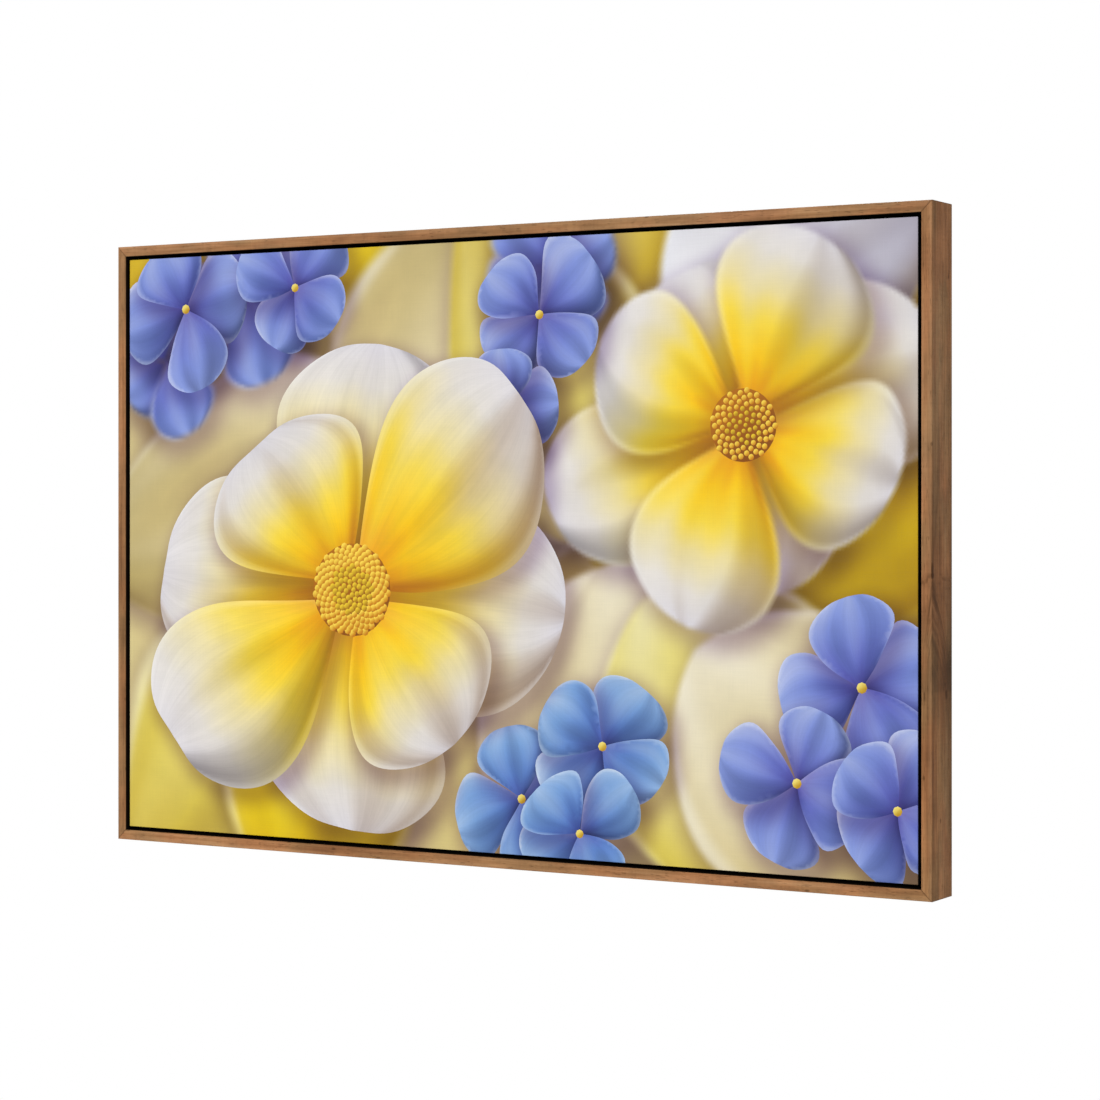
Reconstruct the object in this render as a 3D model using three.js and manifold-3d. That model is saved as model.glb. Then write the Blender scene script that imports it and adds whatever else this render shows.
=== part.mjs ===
// A printed canvas in a floating timber frame, hung landscape with D-rings.
// Millimetres, +Z up. The picture faces -Y and the wall is the plane y = 0.
// The origin is on the wall, behind the middle of the picture.

import * as THREE from 'three';
import { mergeVertices } from 'three/addons/utils/BufferGeometryUtils.js';
import Module from 'manifold-3d';

const wasm = await Module();
wasm.setup();

// Driving dimensions.
const CANVAS_WIDTH = 900;
const CANVAS_HEIGHT = 600;
const SHADOW_GAP = 3.5;
const FACE_WIDTH = 10.5;
const FRAME_DEPTH = 47;
const CANVAS_RECESS = 2;
const BUMPER_THICKNESS = 5;

// Frame moulding: a wall with a ledge behind the canvas.
const LEDGE_THICKNESS = 7;
const LEDGE_REACH = 34;
const FRONT_ARRIS = 1.2;
const BACK_ARRIS = 0.8;

// Canvas and the bars that it is stretched on.
const CLOTH_THICKNESS = 0.6;
const CLOTH_CORNER = 1;
const FLAP_WIDTH = 30;
const BAR_WIDTH = 45;
const BAR_ARRIS = 1.5;
const BAR_LIP = 6;
const BAR_BEVEL_WIDTH = 6;
const BAR_BEVEL_DROP = 3;

// Cross brace, with a tenon at each end.
const BRACE_WIDTH = 38;
const BRACE_DEPTH = 18;
const BRACE_SETBACK = 6;
const TENON_WIDTH = 22;
const TENON_DEPTH = 8;
const TENON_LENGTH = 12;

// Room between pieces: flat on each other, in a hole, and along a mitre.
const SEAT_GAP = 0.1;
const HOLE_GAP = 0.25;
const MITRE_GAP = 0.2;

// Screws, as head radius, head height, shank radius and length under the head.
const LEDGE_SCREW = { headRadius: 3.6, headHeight: 2.2, shankRadius: 1.8, length: 25 };
const STRAP_SCREW = { headRadius: 3.0, headHeight: 1.6, shankRadius: 1.5, length: 14 };
const CROSS_LENGTH = 3.6;
const CROSS_WIDTH = 0.8;
const CROSS_DEPTH = 1.1;
const LEDGE_SCREW_INSET = 23;
const LEDGE_SCREWS_X = [-300, 300];
const LEDGE_SCREWS_Z = [-110, 110];
const HOLE_SIDES = 16;

// Corner nails: thin angled strips across each mitre, driven in from behind.
const NAIL_THICKNESS = 0.6;
const NAIL_LEG = 6;
const NAIL_SUNK = 0.3;
const OUTER_NAIL = { inset: 4, depth: 12 };
const INNER_NAIL = { inset: 17, depth: 5 };
const BAR_NAIL = { inset: 35, depth: 10 };

// D-ring hangers: a folded strap, and a ring that turns in its loop.
const HANGER_INSET = 20;
const HANGER_HEIGHT = 170;
const STRAP_WIDTH = 10;
const STRAP_LAYER = 0.9;
const STRAP_TAIL = 40;
const STRAP_SCREW_DROPS = [19, 33];
const RING_WIRE = 1.1;
const RING_GAP = 0.25;
const RING_WIDTH = 18.2;
const RING_HEIGHT = 13.2;
const RING_CORNER = 2;
const RING_LEAN = THREE.MathUtils.degToRad(4.5);
const RING_SIDES = 10;
const RING_STEPS = 44;

// Wall bumpers on the bottom member.
const BUMPER_RADIUS = 7;
const BUMPER_X = 425;
const BUMPER_INSET = 16;

// Planes across the depth, from the wall forwards.
const FRAME_BACK = -BUMPER_THICKNESS;
const FRAME_FRONT = FRAME_BACK - FRAME_DEPTH;
const LEDGE_FRONT = FRAME_BACK - LEDGE_THICKNESS;
const CLOTH_FRONT = FRAME_FRONT + CANVAS_RECESS;
const CLOTH_BACK = LEDGE_FRONT - SEAT_GAP;
const BAR_FRONT = CLOTH_FRONT + CLOTH_THICKNESS + SEAT_GAP;
const BAR_BACK = CLOTH_BACK - CLOTH_THICKNESS - SEAT_GAP;

// Sizes of the rectangles that the mitred members make.
const FRAME_SIZE = {
  width: CANVAS_WIDTH + 2 * (SHADOW_GAP + FACE_WIDTH),
  height: CANVAS_HEIGHT + 2 * (SHADOW_GAP + FACE_WIDTH),
};
const BARS_SIZE = {
  width: CANVAS_WIDTH - 2 * (CLOTH_THICKNESS + SEAT_GAP),
  height: CANVAS_HEIGHT - 2 * (CLOTH_THICKNESS + SEAT_GAP),
};
const LOOP_RADIUS = RING_WIRE + RING_GAP + STRAP_LAYER;
const PIVOT_Y = FRAME_BACK + SEAT_GAP + LOOP_RADIUS;

const SIDES = [
  { name: 'top', turn: 0, length: 'width', reach: 'height' },
  { name: 'right', turn: Math.PI / 2, length: 'height', reach: 'width' },
  { name: 'bottom', turn: Math.PI, length: 'width', reach: 'height' },
  { name: 'left', turn: -Math.PI / 2, length: 'height', reach: 'width' },
];
const CORNERS = [
  { name: 'top_left', x: -1, z: 1 },
  { name: 'top_right', x: 1, z: 1 },
  { name: 'bottom_right', x: 1, z: -1 },
  { name: 'bottom_left', x: -1, z: -1 },
];
const HANDS = [
  { name: 'left', x: -1 },
  { name: 'right', x: 1 },
];

const MATERIALS = {
  frameWood: { color: 0xa07555, roughness: 0.55, metalness: 0 },
  barWood: { color: 0xd9bd92, roughness: 0.75, metalness: 0 },
  cloth: { color: 0xd9cf8e, roughness: 0.7, metalness: 0 },
  zinc: { color: 0xb9bbb8, roughness: 0.35, metalness: 0.9 },
  nickel: { color: 0xc9c5bc, roughness: 0.3, metalness: 0.9 },
  rubber: { color: 0x2b2b2b, roughness: 0.85, metalness: 0 },
};

const part = new THREE.Group();

function addPiece(name, geometry, finish) {
  const mesh = new THREE.Mesh(geometry, new THREE.MeshStandardMaterial(MATERIALS[finish]));
  mesh.name = name;
  part.add(mesh);
  return mesh;
}

// Solids for cutting and joining.

function toSolid(geometry) {
  const bare = new THREE.BufferGeometry();
  const flat = geometry.index ? geometry.toNonIndexed() : geometry;
  bare.setAttribute('position', flat.getAttribute('position').clone());
  const merged = mergeVertices(bare, 1e-4);
  const corners = merged.index.array;
  const kept = [];
  for (let i = 0; i < corners.length; i += 3) {
    const [a, b, c] = [corners[i], corners[i + 1], corners[i + 2]];
    if (a !== b && b !== c && c !== a) kept.push(a, b, c);
  }
  return new wasm.Manifold(new wasm.Mesh({
    numProp: 3,
    vertProperties: merged.getAttribute('position').array,
    triVerts: new Uint32Array(kept),
  }));
}

function toGeometry(solid) {
  const { vertProperties, triVerts } = solid.getMesh();
  const geometry = new THREE.BufferGeometry();
  geometry.setAttribute('position', new THREE.BufferAttribute(vertProperties, 3));
  geometry.setIndex(new THREE.BufferAttribute(triVerts, 1));
  return geometry;
}

function cut(geometry, cutters) {
  return toGeometry(cutters.reduce((solid, cutter) => solid.subtract(toSolid(cutter)), toSolid(geometry)));
}

// Outlines and the solids made from them.

// A closed outline whose corners are rounded where a point has a radius, as [x, y, radius].
function roundedOutline(points) {
  const outline = new THREE.Shape();
  points.forEach(([x, y, radius = 0], i) => {
    const corner = new THREE.Vector2(x, y);
    const towards = ([u, v]) => new THREE.Vector2(u, v).sub(corner).setLength(radius).add(corner);
    const before = towards(points.at(i - 1));
    const after = towards(points[(i + 1) % points.length]);
    if (i === 0) outline.moveTo(before.x, before.y);
    else outline.lineTo(before.x, before.y);
    if (radius) outline.quadraticCurveTo(x, y, after.x, after.y);
  });
  return outline;
}

function rectangle(width, height, radius = 0) {
  const [x, y] = [width / 2, height / 2];
  return roundedOutline([[-x, -y, radius], [x, -y, radius], [x, y, radius], [-x, y, radius]]);
}

// An outline drawn in x and z, made solid from one depth to another.
function plate(outline, front, back) {
  return new THREE.ExtrudeGeometry(outline, { depth: back - front, bevelEnabled: false, curveSegments: 4 })
    .rotateX(Math.PI / 2)
    .translate(0, back, 0);
}

// A round hole's cutter along Y.
function drill(x, z, radius, front, back) {
  return new THREE.CylinderGeometry(radius, radius, back - front, HOLE_SIDES)
    .translate(x, (front + back) / 2, z);
}

// A bar with mitred ends along X, from its section in distance inwards and depth.
function mitredBar(section, length) {
  const geometry = new THREE.ExtrudeGeometry(section, {
    depth: length,
    bevelEnabled: false,
    curveSegments: 3,
  });
  const position = geometry.getAttribute('position');
  for (let i = 0; i < position.count; i++) {
    const cutBack = position.getX(i) + MITRE_GAP * Math.SQRT1_2;
    const along = position.getZ(i);
    position.setZ(i, along < length / 2 ? along + cutBack : along - cutBack);
  }
  return geometry.translate(0, 0, -length / 2).rotateY(Math.PI / 2);
}

// Four mitred bars round a rectangle, keyed by side.
function mitredBars(section, size) {
  return Object.fromEntries(SIDES.map(({ name, turn, length, reach }) => [
    name,
    mitredBar(section, size[length]).translate(0, 0, size[reach] / 2).rotateY(turn),
  ]));
}

function frameSection() {
  return roundedOutline([
    [0, FRAME_FRONT, FRONT_ARRIS],
    [FACE_WIDTH, FRAME_FRONT, FRONT_ARRIS],
    [FACE_WIDTH, LEDGE_FRONT],
    [LEDGE_REACH, LEDGE_FRONT, BACK_ARRIS],
    [LEDGE_REACH, FRAME_BACK, BACK_ARRIS],
    [0, FRAME_BACK, BACK_ARRIS],
  ]);
}

function barSection() {
  return roundedOutline([
    [0, BAR_FRONT, BAR_ARRIS],
    [BAR_LIP, BAR_FRONT],
    [BAR_LIP + BAR_BEVEL_WIDTH, BAR_FRONT + BAR_BEVEL_DROP],
    [BAR_WIDTH, BAR_FRONT + BAR_BEVEL_DROP],
    [BAR_WIDTH, BAR_BACK],
    [0, BAR_BACK],
  ]);
}

// Screws.

// Where each ledge screw stands, and the side that it is in.
function ledgeScrewPlaces() {
  const x = FRAME_SIZE.width / 2 - LEDGE_SCREW_INSET;
  const z = FRAME_SIZE.height / 2 - LEDGE_SCREW_INSET;
  return [
    ...LEDGE_SCREWS_X.flatMap((at, i) => [
      { name: `top_${i + 1}`, side: 'top', x: at, z },
      { name: `bottom_${i + 1}`, side: 'bottom', x: at, z: -z },
    ]),
    ...LEDGE_SCREWS_Z.flatMap((at, i) => [
      { name: `left_${i + 1}`, side: 'left', x: -x, z: at },
      { name: `right_${i + 1}`, side: 'right', x, z: at },
    ]),
  ];
}

function strapScrewPlaces() {
  return HANDS.flatMap((hand) => STRAP_SCREW_DROPS.map((drop, i) => ({
    name: `${hand.name}_${i + 1}`,
    side: hand.name,
    x: hand.x * (FRAME_SIZE.width / 2 - HANGER_INSET),
    z: HANGER_HEIGHT - drop,
  })));
}

// A pan-head screw with a cross recess, whose head sits on the plane y = 0 and whose point is at -Y.
function screwGeometry({ headRadius, headHeight, shankRadius, length }) {
  const profile = [
    [0, -length],
    [shankRadius, -length + 2 * shankRadius],
    [shankRadius, 0],
    [headRadius, 0],
    [headRadius, 0.45 * headHeight],
    [0.72 * headRadius, 0.9 * headHeight],
    [0.3 * headRadius, headHeight],
    [0, headHeight],
  ].map(([radius, y]) => new THREE.Vector2(radius, y));
  const recessY = headHeight - CROSS_DEPTH / 2;
  return cut(new THREE.LatheGeometry(profile, HOLE_SIDES), [
    new THREE.BoxGeometry(CROSS_LENGTH, 1.01 * CROSS_DEPTH, CROSS_WIDTH).translate(0, recessY, 0),
    new THREE.BoxGeometry(CROSS_WIDTH, 1.01 * CROSS_DEPTH, CROSS_LENGTH).translate(0, recessY, 0),
  ]);
}

// The holes that one side's screws need in a piece.
function screwHoles(side) {
  const holes = (places, { shankRadius, length }) => places
    .filter((place) => place.side === side)
    .map(({ x, z }) => drill(x, z, shankRadius + HOLE_GAP, FRAME_BACK - length - 1, FRAME_BACK + 1));
  return [...holes(ledgeScrewPlaces(), LEDGE_SCREW), ...holes(strapScrewPlaces(), STRAP_SCREW)];
}

// Corner nails.

// The angled outline of a corner nail, its legs running along the two members, or of its slot.
function nailOutline(size, { inset }, corner, margin) {
  const outer = -margin;
  const inner = NAIL_THICKNESS + margin;
  const end = NAIL_LEG + margin;
  const place = ([u, v]) => [
    corner.x * (size.width / 2 - inset - u),
    corner.z * (size.height / 2 - inset - v),
  ];
  return roundedOutline(
    [[outer, outer], [end, outer], [end, inner], [inner, inner], [inner, end], [outer, end]].map(place),
  );
}

// A nail driven in a little below the back of its members.
function nailSolid(size, nail, corner, back) {
  return plate(nailOutline(size, nail, corner, 0), back - NAIL_SUNK - nail.depth, back - NAIL_SUNK);
}

function nailSlots(size, nails, back, side) {
  return CORNERS
    .filter((corner) => corner.name.includes(side))
    .flatMap((corner) => nails.map((nail) => plate(
      nailOutline(size, nail, corner, HOLE_GAP),
      back - NAIL_SUNK - nail.depth - HOLE_GAP,
      back + 1,
    )));
}

// The pieces.

function addFrame() {
  const members = mitredBars(frameSection(), FRAME_SIZE);
  for (const { name } of SIDES) {
    const slots = nailSlots(FRAME_SIZE, [OUTER_NAIL, INNER_NAIL], FRAME_BACK, name);
    addPiece(`frame_${name}`, cut(members[name], [...screwHoles(name), ...slots]), 'frameWood');
  }
}

// The brace's tenon, or the mortise that it stands in.
function tenon(end, margin) {
  const middle = BAR_FRONT + BAR_BEVEL_DROP + BRACE_SETBACK + BRACE_DEPTH / 2;
  const inner = BARS_SIZE.height / 2 - BAR_WIDTH;
  return new THREE.BoxGeometry(TENON_WIDTH + 2 * margin, TENON_DEPTH + 2 * margin, TENON_LENGTH + 2)
    .translate(0, middle, end * (inner + TENON_LENGTH / 2 + margin / 2 - 1));
}

function addStretcher() {
  const bars = mitredBars(barSection(), BARS_SIZE);
  const mortises = { top: [tenon(1, HOLE_GAP)], bottom: [tenon(-1, HOLE_GAP)] };
  for (const { name } of SIDES) {
    const slots = nailSlots(BARS_SIZE, [BAR_NAIL], BAR_BACK, name);
    addPiece(
      `stretcher_${name}`,
      cut(bars[name], [...screwHoles(name), ...slots, ...(mortises[name] ?? [])]),
      'barWood',
    );
  }
}

function addBrace() {
  const front = BAR_FRONT + BAR_BEVEL_DROP + BRACE_SETBACK;
  const length = BARS_SIZE.height - 2 * BAR_WIDTH - 2 * SEAT_GAP;
  const body = toSolid(plate(rectangle(BRACE_WIDTH, length), front, front + BRACE_DEPTH));
  const joined = [-1, 1].reduce((solid, end) => solid.add(toSolid(tenon(end, 0))), body);
  addPiece('cross_brace', toGeometry(joined), 'barWood');
}

// The cloth as a thin tray: the printed front, its four sides and the flaps folded behind the bars.
function addCanvas() {
  const inside = 2 * CLOTH_THICKNESS;
  const outer = plate(rectangle(CANVAS_WIDTH, CANVAS_HEIGHT, CLOTH_CORNER), CLOTH_FRONT, CLOTH_BACK);
  const hollow = plate(
    rectangle(CANVAS_WIDTH - inside, CANVAS_HEIGHT - inside),
    CLOTH_FRONT + CLOTH_THICKNESS,
    CLOTH_BACK - CLOTH_THICKNESS,
  );
  const window = plate(
    rectangle(CANVAS_WIDTH - 2 * FLAP_WIDTH, CANVAS_HEIGHT - 2 * FLAP_WIDTH),
    CLOTH_BACK - CLOTH_THICKNESS - 1,
    CLOTH_BACK + 1,
  );
  const holes = [...ledgeScrewPlaces().map((place) => [place, LEDGE_SCREW]),
    ...strapScrewPlaces().map((place) => [place, STRAP_SCREW])]
    .map(([{ x, z }, screw]) => drill(x, z, screw.shankRadius + HOLE_GAP, BAR_BACK - 1, CLOTH_BACK + 1));
  addPiece('canvas', cut(outer, [hollow, window, ...holes]), 'cloth');
}

function addScrews() {
  for (const { name, x, z } of ledgeScrewPlaces()) {
    addPiece(`ledge_screw_${name}`, screwGeometry(LEDGE_SCREW), 'zinc')
      .position.set(x, FRAME_BACK + SEAT_GAP, z);
  }
  const strapTop = FRAME_BACK + SEAT_GAP + 2 * STRAP_LAYER;
  for (const { name, x, z } of strapScrewPlaces()) {
    addPiece(`strap_screw_${name}`, screwGeometry(STRAP_SCREW), 'nickel')
      .position.set(x, strapTop + SEAT_GAP, z);
  }
}

function addCornerNails() {
  for (const corner of CORNERS) {
    const outer = nailSolid(FRAME_SIZE, OUTER_NAIL, corner, FRAME_BACK);
    const inner = nailSolid(FRAME_SIZE, INNER_NAIL, corner, FRAME_BACK);
    const bar = nailSolid(BARS_SIZE, BAR_NAIL, corner, BAR_BACK);
    addPiece(`frame_nail_outer_${corner.name}`, outer, 'zinc');
    addPiece(`frame_nail_inner_${corner.name}`, inner, 'zinc');
    addPiece(`stretcher_nail_${corner.name}`, bar, 'zinc');
  }
}

// A strap folded double round the ring's straight side, drawn in z and y about the pivot.
function strapGeometry() {
  const top = 2 * STRAP_LAYER - LOOP_RADIUS;
  const outline = new THREE.Shape();
  outline.moveTo(-STRAP_TAIL, -LOOP_RADIUS);
  outline.lineTo(0, -LOOP_RADIUS);
  outline.absarc(0, 0, LOOP_RADIUS, -Math.PI / 2, Math.PI - Math.asin(top / LOOP_RADIUS), false);
  outline.lineTo(-STRAP_TAIL, top);
  outline.closePath();
  const bore = new THREE.Path();
  bore.absarc(0, 0, RING_WIRE + RING_GAP, 0, 2 * Math.PI, true);
  outline.holes.push(bore);
  const folded = new THREE.ExtrudeGeometry(outline, {
    depth: STRAP_WIDTH,
    bevelEnabled: false,
    curveSegments: 12,
  })
    .translate(0, 0, -STRAP_WIDTH / 2)
    .rotateY(-Math.PI / 2);
  const holes = STRAP_SCREW_DROPS.map((drop) => (
    drill(0, -drop, STRAP_SCREW.shankRadius + HOLE_GAP, -LOOP_RADIUS - 1, LOOP_RADIUS)));
  return cut(folded, holes);
}

// The ring's centre line in x and z: a straight side in the strap's loop and a round bow.
function ringPath() {
  const half = RING_WIDTH / 2;
  const bowCentre = RING_HEIGHT - half;
  const path = new THREE.Path();
  path.moveTo(0, 0);
  path.lineTo(half - RING_CORNER, 0);
  path.absarc(half - RING_CORNER, RING_CORNER, RING_CORNER, -Math.PI / 2, 0, false);
  path.lineTo(half, bowCentre);
  path.absarc(0, bowCentre, half, 0, Math.PI, false);
  path.lineTo(-half, RING_CORNER);
  path.absarc(RING_CORNER - half, RING_CORNER, RING_CORNER, Math.PI, 1.5 * Math.PI, false);
  path.lineTo(0, 0);
  return path;
}

// A torus whose round centre line is led along the ring's path.
function ringGeometry() {
  const geometry = new THREE.TorusGeometry(1, RING_WIRE, RING_SIDES, RING_STEPS);
  const position = geometry.getAttribute('position');
  const path = ringPath();
  for (let side = 0; side <= RING_SIDES; side++) {
    const turn = (side / RING_SIDES) * 2 * Math.PI;
    for (let step = 0; step <= RING_STEPS; step++) {
      const centre = path.getPointAt(step / RING_STEPS);
      const tangent = path.getTangentAt(step / RING_STEPS);
      const outwards = RING_WIRE * Math.cos(turn);
      position.setXYZ(
        side * (RING_STEPS + 1) + step,
        centre.x + tangent.y * outwards,
        centre.y - tangent.x * outwards,
        RING_WIRE * Math.sin(turn),
      );
    }
  }
  return geometry.rotateX(Math.PI / 2);
}

function addHangers() {
  for (const hand of HANDS) {
    const pivot = new THREE.Vector3(hand.x * (FRAME_SIZE.width / 2 - HANGER_INSET), PIVOT_Y, HANGER_HEIGHT);
    addPiece(`hanger_strap_${hand.name}`, strapGeometry(), 'nickel').position.copy(pivot);
    const ring = addPiece(`hanger_ring_${hand.name}`, ringGeometry(), 'nickel');
    ring.position.copy(pivot);
    ring.rotation.x = RING_LEAN;
  }
}

function addBumpers() {
  const edge = 0.8;
  const profile = [
    [0, FRAME_BACK + SEAT_GAP],
    [BUMPER_RADIUS, FRAME_BACK + SEAT_GAP],
    [BUMPER_RADIUS, -edge],
    [BUMPER_RADIUS - edge, 0],
    [0, 0],
  ].map(([radius, y]) => new THREE.Vector2(radius, y));
  const z = -FRAME_SIZE.height / 2 + BUMPER_INSET;
  for (const hand of HANDS) {
    addPiece(`bumper_${hand.name}`, new THREE.LatheGeometry(profile, 24), 'rubber')
      .position.set(hand.x * BUMPER_X, 0, z);
  }
}

addFrame();
addStretcher();
addBrace();
addCanvas();
addScrews();
addCornerNails();
addHangers();
addBumpers();

export default part;
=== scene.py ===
"""A printed canvas in a floating timber frame, dressed over its solids. Metres, +Z up, the print faces -Y."""

import math

import bpy
import numpy as np
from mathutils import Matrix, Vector
from mathutils.geometry import delaunay_2d_cdt


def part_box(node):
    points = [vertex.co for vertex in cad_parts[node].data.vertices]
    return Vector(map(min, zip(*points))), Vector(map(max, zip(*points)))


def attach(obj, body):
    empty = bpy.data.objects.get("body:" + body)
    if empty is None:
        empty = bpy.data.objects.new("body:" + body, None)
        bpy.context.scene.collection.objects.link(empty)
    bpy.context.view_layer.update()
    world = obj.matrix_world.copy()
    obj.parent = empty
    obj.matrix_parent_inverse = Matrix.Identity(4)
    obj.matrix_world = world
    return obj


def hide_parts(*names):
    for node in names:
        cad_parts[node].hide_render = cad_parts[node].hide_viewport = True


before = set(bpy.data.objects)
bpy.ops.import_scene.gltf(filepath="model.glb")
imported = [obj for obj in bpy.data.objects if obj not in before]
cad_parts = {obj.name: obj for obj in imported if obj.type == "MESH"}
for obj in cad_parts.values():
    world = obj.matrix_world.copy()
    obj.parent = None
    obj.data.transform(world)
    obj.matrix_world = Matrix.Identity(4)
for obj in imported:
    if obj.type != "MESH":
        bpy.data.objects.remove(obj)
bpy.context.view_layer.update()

# Places taken from the frame.
CANVAS_LOW, CANVAS_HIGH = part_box("canvas")
FRAME_LOW, FRAME_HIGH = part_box("frame_top")
RIGHT_LOW, RIGHT_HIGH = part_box("frame_right")
CANVAS_HALF = np.array([CANVAS_HIGH.x, CANVAS_HIGH.z])
CANVAS_DEPTH = CANVAS_HIGH.y - CANVAS_LOW.y
FRAME_DEPTH = RIGHT_HIGH.y - FRAME_LOW.y
LEDGE_INSET = CANVAS_HIGH.x - RIGHT_LOW.x

# The frame's look. Its knot is on the right member's front arris.
GAP = 0.0035
FACE_WIDTH = FRAME_HIGH.x - CANVAS_HIGH.x - GAP
KNOT = Vector((FRAME_HIGH.x, FRAME_LOW.y, -0.022))
SIDES = ("top", "right", "bottom", "left")
SIDE_TONES = {"top": 0.98, "right": 0.99, "bottom": 1.06, "left": 0.93}

# The cloth: its threads, its bends round the bars, its corners and its flaps.
CLOTH = 0.0006
THREAD = 0.0007
EDGE_BEND = 0.0012
BEND_STEPS = 4
CORNER_ROUND = 0.0009
CORNER_KEPT = 0.030
CORNER_STEPS = (0.0003, 0.0006, 0.001, 0.002, 0.004, 0.007, 0.0105)
PRINT_GRID = 0.0035
FLAP = 0.030
FLAP_STEPS = (0.008, 0.014, 0.0178, 0.0186, 0.0195, 0.022, 0.0245, 0.027)
CUT_STEP = 0.0003
BLACK_FLAP = 0.014
FOLD_RISE = 0.0008
RAGGED = 0.0004

# The staples, their number along a long and a short side, and how unevenly they were driven.
STAPLE_CROWN = 0.010
STAPLE_WIDTH = 0.0013
STAPLE_THICK = 0.0006
STAPLE_BEND = 0.0008
STAPLE_LEG = 0.005
STAPLE_INSET = (LEDGE_INSET + FLAP) / 2
STAPLE_CORNER = 0.022
STAPLES_LONG = 14
STAPLES_SHORT = 9
STAPLE_TILT = 0.05
STAPLE_DRIFT = 0.0006
STAPLE_CLEAR = 0.00005
STAPLE_LIFT = 0.00015

# The photograph's camera: level, turned to the picture's right, with the horizon above the middle.
PHOTO_SIZE = 1100
FOCAL_PIXELS = 2801
HORIZON_PIXEL = 501
CAMERA_TURN = math.radians(30.48)
CAMERA_PLACE = Vector((1.4392, FRAME_LOW.y - 2.3295, 0.0446))
SENSOR = 36

# The canvas's finishes, by their place among its materials.
PRINT, EDGE_BLACK, RAW = range(3)


# Numbers, colours and objects.

def smooth(low, high, value):
    share = np.clip((value - low) / (high - low), 0, 1)
    return share * share * (3 - 2 * share)


def mix(first, second, share):
    share = np.asarray(share)[..., None]
    return first * (1 - share) + second * share


def screen(text):
    """A colour as the screen shows it, from its six hex digits."""
    return np.array([int(text[i : i + 2], 16) / 255 for i in (0, 2, 4)])


def to_light(colour):
    """Screen colours as amounts of light."""
    return np.where(colour <= 0.04045, colour / 12.92, ((colour + 0.055) / 1.055) ** 2.4)


def loop_edges(count):
    return [(i, (i + 1) % count) for i in range(count)]


def new_mesh(name, vertices, faces, *materials):
    mesh = bpy.data.meshes.new(name)
    mesh.from_pydata(vertices, [], faces)
    for material in materials:
        mesh.materials.append(material)
    return mesh


def add_object(name, data):
    piece = bpy.data.objects.new(name, data)
    bpy.context.scene.collection.objects.link(piece)
    return piece


# Shader nodes.

class Value:
    """A number, colour or place in a shader. Arithmetic on it makes the nodes that work it out."""

    def __init__(self, nodes, socket):
        self.nodes = nodes
        self.socket = socket

    def math(self, operation, *others):
        return self.nodes.math(operation, self, *others)

    def __add__(self, other):
        return self.math("ADD", other)

    def __sub__(self, other):
        return self.math("SUBTRACT", other)

    def __rsub__(self, other):
        return self.nodes.math("SUBTRACT", other, self)

    def __mul__(self, other):
        return self.math("MULTIPLY", other)

    def __truediv__(self, other):
        return self.math("DIVIDE", other)

    def __pow__(self, other):
        return self.math("POWER", other)

    def __abs__(self):
        return self.math("ABSOLUTE")

    def largest(self, *others):
        found = self
        for other in others:
            found = found.math("MAXIMUM", other)
        return found

    def ramp(self, low, high, start=0.0, end=1.0):
        """From low to high, led smoothly from start to end."""
        inputs = {"Value": self, "From Min": low, "From Max": high, "To Min": start, "To Max": end}
        return self.nodes.value("MapRange", inputs, "Result", interpolation_type="SMOOTHSTEP")


class Nodes:
    """A node tree, with a short call for each kind of node that this scene uses."""

    def __init__(self, tree):
        self.tree = tree

    def put(self, socket, value):
        """Leads a value to a socket, or sets it there. A colour may be given as its six hex digits."""
        if isinstance(value, Value):
            self.tree.links.new(value.socket, socket)
        elif isinstance(value, str):
            socket.default_value = (*to_light(screen(value)), 1.0)
        else:
            socket.default_value = value

    def add(self, kind, inputs, **settings):
        node = self.tree.nodes.new("ShaderNode" + kind)
        for name, value in settings.items():
            setattr(node, name, value)
        for key, value in inputs.items():
            self.put(node.inputs[key], value)
        return node

    def value(self, kind, inputs, output, **settings):
        return Value(self, self.add(kind, inputs, **settings).outputs[output])

    def math(self, operation, *values):
        return self.value("Math", dict(enumerate(values)), "Value", operation=operation)

    def object_place(self):
        return self.value("TexCoord", {}, "Object")

    def attribute(self, name, output):
        return self.value("Attribute", {}, output, attribute_name=name)

    def stretched(self, vector, scale, offset=(0, 0, 0)):
        return self.value("Mapping", {"Vector": vector, "Scale": scale, "Location": offset}, "Vector")

    def parts(self, vector):
        return [Value(self, socket) for socket in self.add("SeparateXYZ", {"Vector": vector}).outputs]

    def joined(self, x, y, z):
        return self.value("CombineXYZ", {"X": x, "Y": y, "Z": z}, "Vector")

    def length(self, vector):
        return self.value("VectorMath", {0: vector}, "Value", operation="LENGTH")

    def noise(self, vector, scale=1, detail=2, roughness=0.5, distortion=0.0):
        inputs = {"Scale": scale, "Detail": detail, "Roughness": roughness, "Distortion": distortion}
        return self.value("TexNoise", {"Vector": vector, **inputs}, "Fac")

    def cells(self, vector, scale=1):
        return self.value("TexVoronoi", {"Vector": vector, "Scale": scale}, "Distance")

    def mix(self, share, first, second, mode="MIX"):
        return self.value("Mix", {0: share, 6: first, 7: second}, 2, data_type="RGBA", blend_type=mode)

    def dimmed(self, colour, *values):
        """colour times one grey value after another."""
        for value in values:
            colour = self.mix(1.0, colour, self.joined(value, value, value), "MULTIPLY")
        return colour

    def shades(self, value, *stops):
        """A colour for value, along (place, hex) stops."""
        node = self.add("ValToRGB", {"Fac": value})
        elements = node.color_ramp.elements
        while len(elements) < len(stops):
            elements.new(1)
        for element, (place, text) in zip(elements, stops):
            element.position = place
            element.color = (*to_light(screen(text)), 1.0)
        return Value(self, node.outputs["Color"])


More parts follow.
